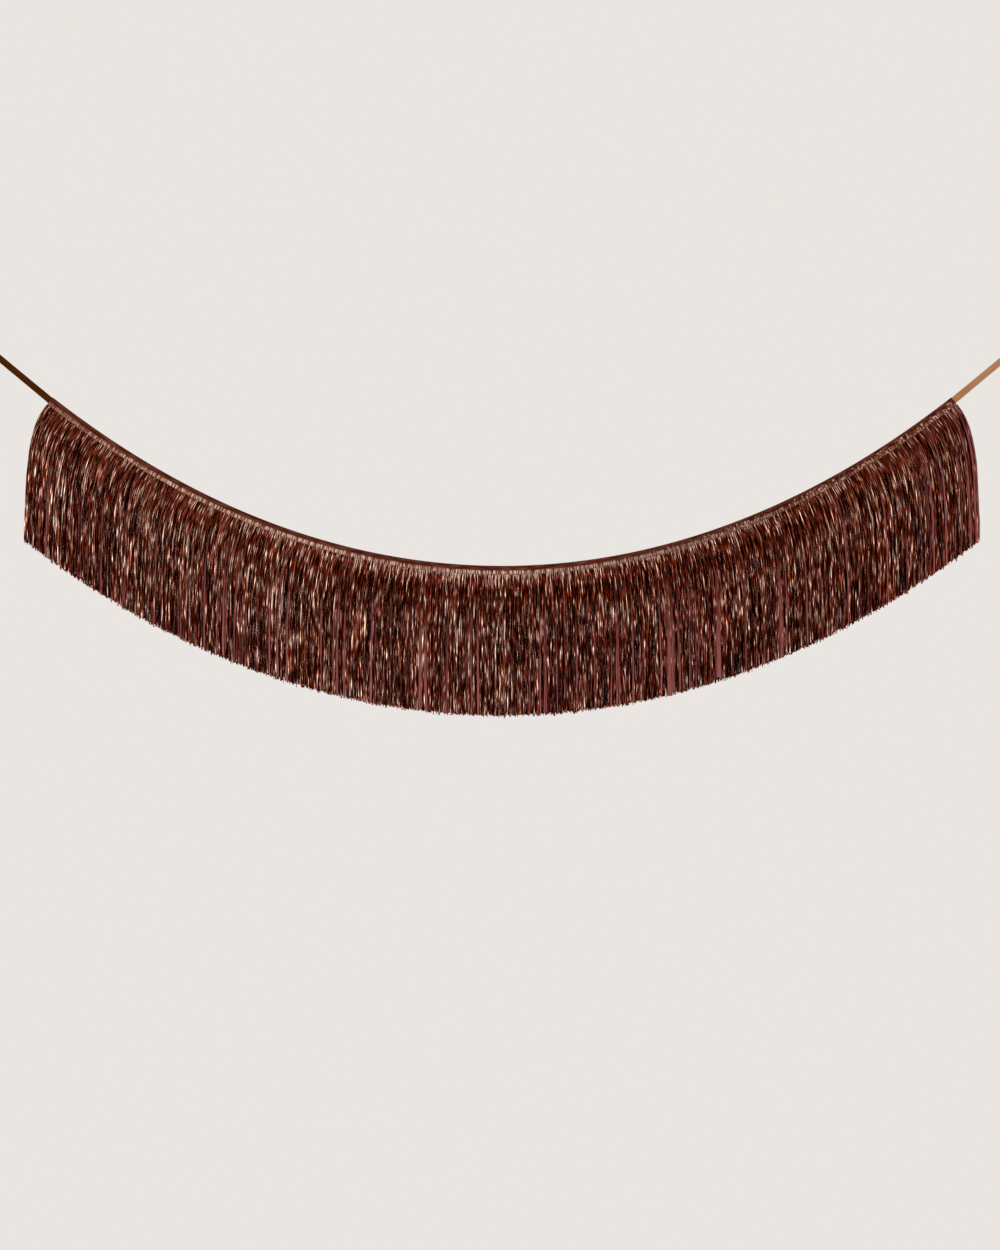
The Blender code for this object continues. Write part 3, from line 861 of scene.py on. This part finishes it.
def one_strip():
    """A unit strip along Z, with sharp long edges and a UV column that wraps round it.

    Both its sides are cut along the same zigzag, so that they stay apart when it is twisted.
    """
    bm = bmesh.new()
    uv = bm.loops.layers.uv.new(UV_MAP)
    bmesh.ops.create_cube(bm, size=1)
    cut_long_edges(bm, STRIP_LENGTHS - 1)
    even = [round((0.5 - vert.co.z) * STRIP_LENGTHS) % 2 == 0 for vert in bm.verts]
    zigzag = [vert for vert, is_even in zip(bm.verts, even) if (vert.co.x < 0) == is_even]
    bmesh.ops.connect_verts(bm, verts=zigzag)
    bm.normal_update()
    for edge in bm.edges:
        edge.smooth = edge.calc_face_angle() < SHARP
    for face in bm.faces:
        face.smooth = True
        for loop in face.loops:
            across, thick = loop.vert.co.x + 0.5, loop.vert.co.y + 0.5
            if face.normal.x > 0.5:
                across = FACE_SHARE + EDGE_SHARE * thick
            elif face.normal.x < -0.5:
                across = 1 - EDGE_SHARE * thick
            elif face.normal.y > 0.5:
                across = 1 - EDGE_SHARE - FACE_SHARE * across
            else:
                across = FACE_SHARE * across
            loop[uv].uv = (across / FILM_COLUMNS, gone_share(loop.vert.co.z))
    return to_mesh("one_strip", bm)


strip = one_strip()
strip_unit = np.array([vert.co[:] for vert in strip.vertices])
print("one strip:", len(strip.polygons), "faces,", len(strip.vertices), "points")

# %% Film heads
HEAD_TOP, HEAD_OVERLAP = SEAM_BOTTOM - 0.25 * MM, 0.6 * MM
HEAD_FILM = 0.12 * MM
HEAD_START, HEAD_BELLY, HEAD_RIPPLE = 0.2 * MM, 1.1 * MM, 0.3 * MM
PLY_PRESS = 0.22 * MM  # how much less each inner ply bellies


def head_depth(along, share, layer=0):
    """How far the film head stands from the middle plane: it bellies out below the seam."""
    points = np.stack([along, 0 * along, 0 * along], axis=-1)
    ripple = rough(points, 6 * MM, 11) + 0.8 * rough(points, 2.6 * MM, 12)
    return HEAD_START + share * (HEAD_BELLY - layer * PLY_PRESS) + HEAD_RIPPLE * share * ripple


def head_sheet(low, high, side):
    """The whole film between the seam and the slits, for one panel and one side."""

    def place(u, v):
        along = low + (high - low) * u
        below = HEAD_TOP + (HEAD_BOTTOM + HEAD_OVERLAP - HEAD_TOP) * v
        return on_header(along, below, side * head_depth(along, v))

    bm = lay_out(cut_sheet(150, 4), place, HEAD_FILM)
    uv = bm.loops.layers.uv[UV_MAP]
    for face in bm.faces:
        face.smooth = True
        for loop in face.loops:
            share, fall = loop[uv].uv
            # The heads take the top of a broad column, which is painted dark: painted shade under
            # the strips.
            loop[uv].uv = (1 - (0.1 + 0.8 * share) / FILM_COLUMNS, 0.03 * fall)
    return bm


print("film head", round((HEAD_BOTTOM - HEAD_TOP) / MM, 2), "mm high")

# %% [markdown]
# The rules below work on all the strips of a panel at once. Their arrays have one row for
# each strip and one column for each point of the unit strip. Layer 0 is the outermost ply.

# %% Twist and drift
FIRST_TURN, LOOSE_AFTER = 1.5, 26 * MM
TWIST_RATE = 12  # radians in a metre
WOBBLE_TURNS, WOBBLE_LENGTHS = (0.2, 0.6), (90 * MM, 160 * MM)
CLUMP_SIZE, CLUMP_STRETCH, CLUMP_DRIFT = 13 * MM, 5, 2.6 * MM
PLY_STEP = 9 * MM  # between the plies, in the noise


def twisted(gone, lively, rng):
    """How far each strip has turned about its own line, at each of its points."""
    first = rng.uniform(-FIRST_TURN, FIRST_TURN, lively.shape) * lively
    rate = rng.normal(0, TWIST_RATE, lively.shape) * lively
    wobble = rng.uniform(*WOBBLE_TURNS, lively.shape) * lively
    wave = rng.uniform(*WOBBLE_LENGTHS, lively.shape)
    phase = rng.uniform(0, 2 * np.pi, lively.shape)
    loose = 1 - np.exp(-gone / LOOSE_AFTER)
    return first * loose + rate * gone + wobble * np.sin(2 * np.pi * gone / wave + phase) * loose


def drifted(along, side, layer, gone):
    """How far neighbouring strips have drifted sideways together, into clumps."""
    ply_place = side * (3 + layer) * PLY_STEP
    points = np.stack(np.broadcast_arrays(along, ply_place, gone / CLUMP_STRETCH), axis=-1)
    return rough(points, CLUMP_SIZE, 21, CLUMP_DRIFT)


print("clumps about", round(CLUMP_SIZE / MM), "mm wide")

# %% Places on the film
RANDOM_PICK = 0.72
# Strips at both ends of the header start further down the film, past the painted light at its top.
START_ALONG, START_DOWN = (-0.55, -0.2, 0.5, 0.65), (0.095, 0, 0, 0.095)


def film_cuts(along, broad, calmer, rng):
    """(column, start, run) of each strip on the film; it starts lower at the header's ends."""
    plain = FILM_COLUMNS - BROAD_COLUMNS
    picked = RANDOM_PICK * rng.random(along.shape)
    # Strips towards the header's right end take higher columns, painted darker: painted shade on
    # that end.
    picked = (picked + (1 - RANDOM_PICK) * (0.5 + along / HEADER_LENGTH)) * plain
    kept_apart = plain + rng.integers(0, BROAD_COLUMNS, along.shape)
    column = np.where(broad, kept_apart, picked.astype(int)) / FILM_COLUMNS
    start = np.interp(along, START_ALONG, START_DOWN)
    # Broad strips towards the calm right end start further down, past the painted shade at a broad
    # strip's top.
    start += 0.03 * rng.random(along.shape) + 0.35 * calmer * broad
    run = 1 - start - 0.1 * rng.random(along.shape)
    return np.hstack([column, start, run])


print("a strip is", round(1 / FILM_COLUMNS, 3), "of the film's map wide")

# %% Hang the strips
LAYERS = PLIES // 2
ROOT_ABOVE, ROOT_JITTER = 7.2 * MM, 0.35
WHOLE_FILM, LENGTH_SPREAD = 7 * MM, 2.4 * MM
CALMER_FROM, CALMER_OVER = 0.5, 0.3  # along the header: the right end hangs calmer
BROAD_SHARES, BROAD_MORE = (0.065, 0.045, 0.02, 0.0), 0.3
LIVELY_BROAD, LIVELY_INNER = 0.06, 0.2
NARROW_WIDTHS, INNER_WIDTH = (1.4 * MM, 2.1 * MM), 2.9 * MM
BROAD_LEAST, BROAD_SPREAD = 2.6 * MM, 5.4 * MM
LEAN, OVER_BORDER = 1.6 * MM, 0.4 * MM
FAN_LEAST, FAN_MORE, FAN_SPREAD, FAN_OVER = 2 * MM, 8 * MM, 0.9 * MM, 38 * MM
PLY_GAP, PLY_GAP_MORE = 0.15 * MM, 0.12 * MM
FOLDED_SHARE, UNFOLDED_BY = 0.4, 0.6 * FRINGE_LENGTH


def hang_strips(panel, rng):
    """(corner points, places in the UV map) of all the strips of one panel."""
    one_each = (PLIES * STRIPS_PER_PLY, 1)
    ply, order = np.divmod(np.arange(one_each[0])[:, None], STRIPS_PER_PLY)
    side, layer = np.where(ply < LAYERS, -1.0, 1.0), ply % LAYERS
    inner = layer == LAYERS - 1
    low = panel * PANEL_LENGTH - HALF_LENGTH
    pitch = PANEL_LENGTH / STRIPS_PER_PLY
    along = low + (order + 0.5 + rng.uniform(-ROOT_JITTER, ROOT_JITTER, one_each)) * pitch
    length = ROOT_ABOVE + FRINGE_LENGTH - WHOLE_FILM + rng.normal(0, LENGTH_SPREAD, one_each)
    calmer = ease((along - CALMER_FROM) / CALMER_OVER)
    share = np.take(BROAD_SHARES, layer) * (1 + BROAD_MORE * calmer)
    broad = rng.random(one_each) < share
    lively = np.select([broad, inner], [LIVELY_BROAD, LIVELY_INNER], 1)
    broad_width = BROAD_LEAST + BROAD_SPREAD * rng.random(one_each) ** 4
    narrow_width = rng.uniform(*NARROW_WIDTHS, one_each)
    width = np.select([broad, inner], [broad_width, INNER_WIDTH], narrow_width)

    gone = length * gone_share(strip_unit[:, 2])
    angle = twisted(gone, lively, rng)
    lean = rng.normal(0, LEAN, one_each)
    fan = FAN_LEAST + FAN_MORE * (1 - layer / 3.5) + rng.normal(0, FAN_SPREAD, one_each)

    # where their centre lines run
    room = np.minimum(along - low, low + PANEL_LENGTH - along) + OVER_BORDER
    sway = (drifted(along, side, layer, gone) + lean) * (gone / length)
    on_head, free = np.minimum(gone, ROOT_ABOVE), np.maximum(gone - ROOT_ABOVE, 0)
    down_head = 1 - (ROOT_ABOVE - on_head) / (HEAD_BOTTOM - HEAD_TOP)
    apart = PLY_GAP + PLY_GAP_MORE * (LAYERS - 1 - layer)
    depth = head_depth(along, down_head, layer) + apart + fan * (1 - np.exp(-free / FAN_OVER))
    centre = on_header(along, HEAD_BOTTOM - ROOT_ABOVE + on_head, side * depth)
    centre += hang(along, free)
    centre[..., 0] += np.clip(sway, -room, room)

    # which way they face, and their corners
    heading = np.arctan(along / CATENARY) * np.exp(-free / STRAND_TURN)
    across = np.stack(np.broadcast_arrays(np.cos(heading), 0, np.sin(heading)), axis=-1)
    facing = np.array([0.0, 1.0, 0.0])
    cosine, sine = np.cos(angle)[..., None], np.sin(angle)[..., None]
    flat = across * cosine + facing * sine
    out = facing * cosine - across * sine
    unfolded = ease(gone / UNFOLDED_BY + 0.5 * calmer)
    opened = np.where(broad, FOLDED_SHARE + (1 - FOLDED_SHARE) * unfolded, 1)
    corners = centre + flat * (width * opened * strip_unit[:, 0])[..., None]
    corners += out * (strip_unit[:, 1] * STRIP_FILM)[:, None]
    return corners.reshape(-1, 3), film_cuts(along, broad, calmer, rng)


print("strips", round(PANEL_LENGTH / STRIPS_PER_PLY / MM, 2), "mm apart in each ply")

# %% Fringe panels
def fringe_piece(panel, rng):
    """The film heads and strips of one panel as one object."""
    corners, cuts = hang_strips(panel, rng)
    bm = copied(strip, len(cuts))
    low = panel * PANEL_LENGTH - HALF_LENGTH
    for side in (-1, 1):
        add_part(bm, head_sheet(low, low + PANEL_LENGTH, side))
    name = f"fringe_panel_{panel + 1:02d}"
    mesh = to_mesh(name, bm)
    places = np.empty(len(mesh.vertices) * 3, np.float32)
    mesh.vertices.foreach_get("co", places)
    places[: corners.size] = corners.ravel()
    mesh.vertices.foreach_set("co", places)
    loops = mesh.uv_layers[UV_MAP].uv
    uv = np.empty(len(loops) * 2, np.float32)
    loops.foreach_get("vector", uv)
    strip_uv = uv.reshape(-1, 2)[: len(strip.loops) * len(cuts)]
    column, start, run = np.repeat(cuts, len(strip.loops), axis=0).T
    strip_uv[:, 0] += column
    strip_uv[:, 1] = start + run * strip_uv[:, 1]
    loops.foreach_set("vector", uv)
    mesh.materials.append(strip_film)
    mesh.update()
    return new_object(name, mesh)


rng = np.random.default_rng(7)
panels = [fringe_piece(panel, rng) for panel in range(PANEL_COUNT)]
for panel, fringe in enumerate(panels):
    number = f"{panel + 1:02d}"
    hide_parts(f"front_fringe_{number}", f"back_fringe_{number}")
    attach(fringe, f"panel_{number}")
print("fringe:", PANEL_COUNT * PLIES * STRIPS_PER_PLY, "strips")
print("one panel:", len(panels[0].data.polygons), "faces")

# %% [markdown]
# The sleeve began as one flat strip of film, as long as the header and as wide as its way
# round the ribbon and down to the seam on both sides.

# %% [markdown]
# ## Floor, background and lamps
# The floor is plain and pale, well below the banner, which hangs at about door height. It
# fades out into the pale background at its rim. Two tall soft boxes stand to the left and
# right of the camera, and a third one hangs above it. They are large and only a little
# brighter than the room, so that film that turns towards one gleams but isn't bleached. A
# fourth lights the back. The world gives the rest as even, plain light. The camera, and
# what is mirrored in the film, sees the world a little paler than it lights the banner.

# %% Floor
FLOOR_DROP, FADE_FROM, FLOOR_RADIUS = 2.3, 0.9, 2.6
FLOOR_SHADES = ((0.3, "#f3f0ec"), (0.7, "#f6f3ef"))

floor_mesh = bmesh.new()
bmesh.ops.create_circle(floor_mesh, cap_ends=True, radius=FLOOR_RADIUS, segments=96)
bmesh.ops.translate(floor_mesh, verts=floor_mesh.verts, vec=(0, 0, -FLOOR_DROP))
paint, paint_tree, paint_shader = new_material("matt_pale_floor_paint")
spot = add_node(paint_tree, "ShaderNodeTexCoord", {}).outputs["Object"]
mottle = add_node(paint_tree, "ShaderNodeTexNoise", {"Vector": spot, "Scale": 1.2})
shades = add_node(paint_tree, "ShaderNodeValToRGB", {"Fac": mottle}, FLOOR_SHADES)
flat = add_node(paint_tree, "ShaderNodeMapping", {"Vector": spot, "Scale": (1, 1, 0)})
radius = add_node(paint_tree, "ShaderNodeVectorMath", {0: flat}, operation="LENGTH")
span = {"Value": radius, "From Min": FADE_FROM, "From Max": FLOOR_RADIUS * 0.98}
fade = add_node(paint_tree, "ShaderNodeMapRange", span, interpolation_type="SMOOTHSTEP")
clear = add_node(paint_tree, "ShaderNodeBsdfTransparent", {})
surface = add_node(paint_tree, "ShaderNodeMixShader", {0: fade, 1: paint_shader, 2: clear})
feed(paint_shader, {"Base Color": shades, "Roughness": 0.9})
feed(paint_tree.nodes["Material Output"], {"Surface": surface})
floor = new_piece("floor", floor_mesh, paint)
print("floor", FLOOR_DROP, "m down")

# %% World
SEEN, LIGHTS = 0.82, 0.6

world = bpy.data.worlds.new("soft_room")
bpy.context.scene.world = world
world.use_nodes = True
rays = add_node(world.node_tree, "ShaderNodeLightPath", {})
seen = rays.outputs["Is Camera Ray"]
for ray in ("Is Glossy Ray", "Is Transmission Ray"):
    either = {0: seen, 1: rays.outputs[ray]}
    seen = add_node(world.node_tree, "ShaderNodeMath", either, operation="MAXIMUM")
span = {"Value": seen, "To Min": LIGHTS, "To Max": SEEN}
strength = add_node(world.node_tree, "ShaderNodeMapRange", span)
sky = world.node_tree.nodes["Background"]
feed(sky, {"Color": linear("#fffaf6"), "Strength": strength})
print("world", LIGHTS, "as light,", SEEN, "to the camera")

# %% Lamps
AIM = (0, 0, -0.4)


def soft_box(name, place, wide, tall, radiance):
    """A rectangular area lamp; its power follows from how bright its face looks."""
    lamp = bpy.data.lights.new(name, "AREA")
    lamp.shape = "RECTANGLE"
    lamp.size, lamp.size_y = wide, tall
    lamp.energy = radiance * math.pi * wide * tall
    lamp.color = linear("#fff4e4")[:3]
    made = new_object(name, lamp)
    made.location = place
    made.rotation_euler = (Vector(AIM) - Vector(place)).to_track_quat("-Z", "Y").to_euler()
    made.visible_camera = False
    return made


soft_boxes = [
    soft_box("left_soft_box", (-2.3, -2.3, 0.0), 1.4, 2.6, 1.6),
    soft_box("right_soft_box", (2.3, -2.3, 0.0), 1.4, 2.6, 0.95),
    soft_box("high_soft_box", (0.3, -2.4, 2.4), 2.4, 0.9, 1.8),
    soft_box("back_soft_box", (0.0, 3.2, 1.2), 2.4, 1.0, 1.8),
]
bpy.context.scene.view_settings.view_transform = "Standard"
print("lamps", [(lamp.name, round(lamp.data.energy, 1)) for lamp in soft_boxes])
